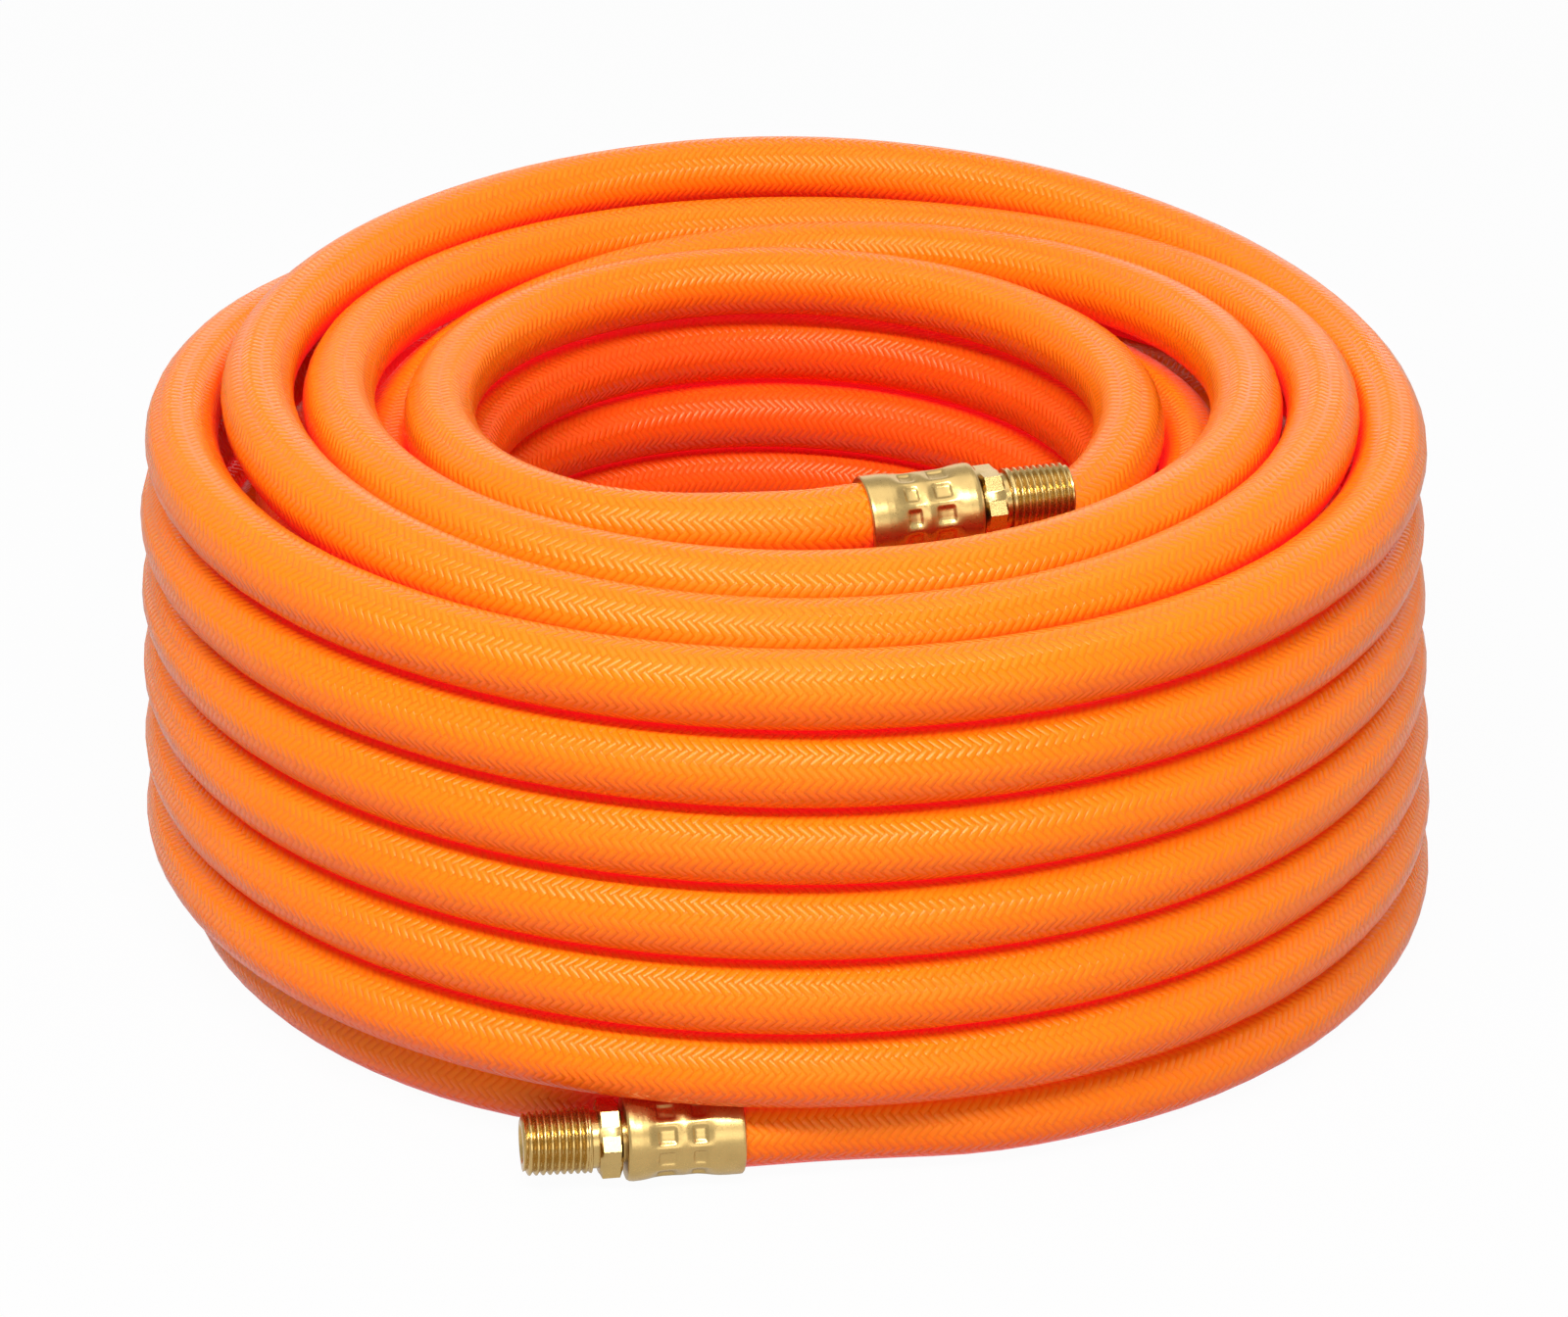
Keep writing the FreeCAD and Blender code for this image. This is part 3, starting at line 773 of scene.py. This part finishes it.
class HOSE_OT_wind(bpy.types.Operator):
    """Wind the hose into its coil as one tube along a smooth line"""
    bl_idname = "hose.wind"
    bl_label = "Wind the hose"

    def execute(self, context):
        settings = context.scene.hose_sizes
        path = smooth_line(route_points(settings))
        mesh = tube_mesh("wound_hose", path, settings.diameter / 2, settings.sides)
        mesh.materials.append(hose_material(settings))
        hose = bpy.data.objects.new("wound_hose", mesh)
        context.scene.collection.objects.link(hose)
        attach(hose, "root")
        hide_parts("hose_coil", "hose_core")
        return {"FINISHED"}


def camera_at(context):
    """Camera at the photograph's angle."""
    distance, elevation = 0.9249, math.radians(22.856)
    tilt, yaw, roll = math.radians(3.27), math.radians(0.104), math.radians(1.2436)
    focal_pixels, frame_width = 4237.8, 1600
    target = AXIS + Vector((0, 0, TOP_ROW))
    place = target + Vector((0, -distance * math.cos(elevation), distance * math.sin(elevation)))
    level = math.cos(elevation + tilt)
    forward = Vector((math.sin(yaw) * level, math.cos(yaw) * level, -math.sin(elevation + tilt)))
    right = forward.cross(Vector((0, 0, 1))).normalized()
    up = right.cross(forward)
    leaning = right * math.cos(roll) + up * math.sin(roll)
    upright = up * math.cos(roll) - right * math.sin(roll)
    data = bpy.data.cameras.new("camera")
    data.sensor_width = 36.0
    data.lens = focal_pixels / frame_width * data.sensor_width
    data.clip_start = 0.05
    camera = bpy.data.objects.new("camera", data)
    context.scene.collection.objects.link(camera)
    camera.matrix_world = Matrix((
        (leaning.x, upright.x, -forward.x, place.x),
        (leaning.y, upright.y, -forward.y, place.y),
        (leaning.z, upright.z, -forward.z, place.z),
        (0, 0, 0, 1)))
    context.scene.camera = camera


def softbox(context, name, place, size, power):
    """Rectangular light that points at the middle of the coil."""
    target = Vector((0, 0, 0.06))
    data = bpy.data.lights.new(name, "AREA")
    data.shape = "RECTANGLE"
    data.size, data.size_y = size
    data.energy = power
    light = bpy.data.objects.new(name, data)
    light.location = place
    light.rotation_euler = (target - Vector(place)).to_track_quat("-Z", "Y").to_euler()
    context.scene.collection.objects.link(light)


def with_white(nodes, lit, white, share, output):
    """Puts out a lit shader and a plain white one, mixed for each ray.

    The camera sees the given share of the white one, and gloss and glass see most of that.
    """
    gloss_share = 0.6
    seen = nodes.add("ShaderNodeLightPath")
    bent = nodes.math("MAXIMUM", seen.outputs["Is Glossy Ray"],
                      seen.outputs["Is Transmission Ray"])
    ray = nodes.math("MAXIMUM", seen.outputs["Is Camera Ray"],
                     nodes.math("MULTIPLY", bent, gloss_share))
    mix = nodes.add("ShaderNodeMixShader")
    nodes.put(nodes.math("MULTIPLY", ray, share), mix.inputs[0])
    nodes.put(lit.outputs[0], mix.inputs[1])
    nodes.put(white.outputs[0], mix.inputs[2])
    nodes.put(mix.outputs[0], nodes.add(output).inputs[0])


def light_room(scene, strength):
    """Even room light, before a white background."""
    world = scene.world or bpy.data.worlds.new("room")
    scene.world = world
    world.use_nodes = True
    world.node_tree.nodes.clear()
    nodes = Nodes(world.node_tree)
    room = nodes.add("ShaderNodeBackground")
    room.inputs["Color"].default_value = (1, 1, 1, 1)
    room.inputs["Strength"].default_value = strength
    white = nodes.add("ShaderNodeBackground")
    white.inputs["Color"].default_value = (1, 1, 1, 1)
    with_white(nodes, room, white, 1.0, "ShaderNodeOutputWorld")


def floor_material():
    """Pale paper that is nearly white to the camera and still takes the coil's shadow."""
    white_share, paper_grey = 0.965, 0.5
    material = bpy.data.materials.new("pale_floor")
    material.use_nodes = True
    material.node_tree.nodes.clear()
    nodes = Nodes(material.node_tree)
    paper = nodes.add("ShaderNodeBsdfDiffuse")
    paper.inputs["Color"].default_value = (paper_grey, paper_grey, paper_grey, 1)
    with_white(nodes, paper, nodes.add("ShaderNodeEmission"), white_share,
               "ShaderNodeOutputMaterial")
    return material


class HOSE_OT_stage(bpy.types.Operator):
    """Set a pale floor, soft studio light and the camera"""
    bl_idname = "hose.stage"
    bl_label = "Set the stage"

    def execute(self, context):
        settings = context.scene.hose_stage
        scene = context.scene
        scene.view_settings.view_transform = "Standard"
        light_room(scene, settings.sky)
        mesh = bpy.data.meshes.new("floor")
        reach = 4.0
        mesh.from_pydata([(-reach, -reach, 0), (reach, -reach, 0), (reach, reach, 0),
                          (-reach, reach, 0)], [], [(0, 1, 2, 3)])
        mesh.materials.append(floor_material())
        floor = bpy.data.objects.new("floor", mesh)
        scene.collection.objects.link(floor)
        for name, place, size, share in SOFTBOXES:
            softbox(context, name, place, size, settings.softbox_power * share)
        camera_at(context)
        return {"FINISHED"}


class HOSE_PT_panel(bpy.types.Panel):
    """Shows the settings of the coiled hose and the buttons that build it"""
    bl_label = "Coiled air hose"
    bl_idname = "HOSE_PT_panel"
    bl_space_type = "VIEW_3D"
    bl_region_type = "UI"
    bl_category = "Air hose"

    def draw(self, context):
        layout = self.layout
        for group in (context.scene.hose_sizes, context.scene.hose_fittings,
                      context.scene.hose_stage):
            for name in group.__annotations__:
                layout.prop(group, name)
        for operator in (HOSE_OT_fit_ends, HOSE_OT_wind, HOSE_OT_stage):
            layout.operator(operator.bl_idname)


CLASSES = (HoseSettings, FittingSettings, StageSettings, HOSE_OT_fit_ends, HOSE_OT_wind,
           HOSE_OT_stage, HOSE_PT_panel)


def register():
    for item in CLASSES:
        bpy.utils.register_class(item)
    bpy.types.Scene.hose_sizes = PointerProperty(type=HoseSettings)
    bpy.types.Scene.hose_fittings = PointerProperty(type=FittingSettings)
    bpy.types.Scene.hose_stage = PointerProperty(type=StageSettings)


def unregister():
    del bpy.types.Scene.hose_stage
    del bpy.types.Scene.hose_fittings
    del bpy.types.Scene.hose_sizes
    for item in reversed(CLASSES):
        bpy.utils.unregister_class(item)


def main():
    register()
    bpy.ops.hose.fit_ends()
    bpy.ops.hose.wind()
    bpy.ops.hose.stage()


if __name__ == "__main__":
    main()
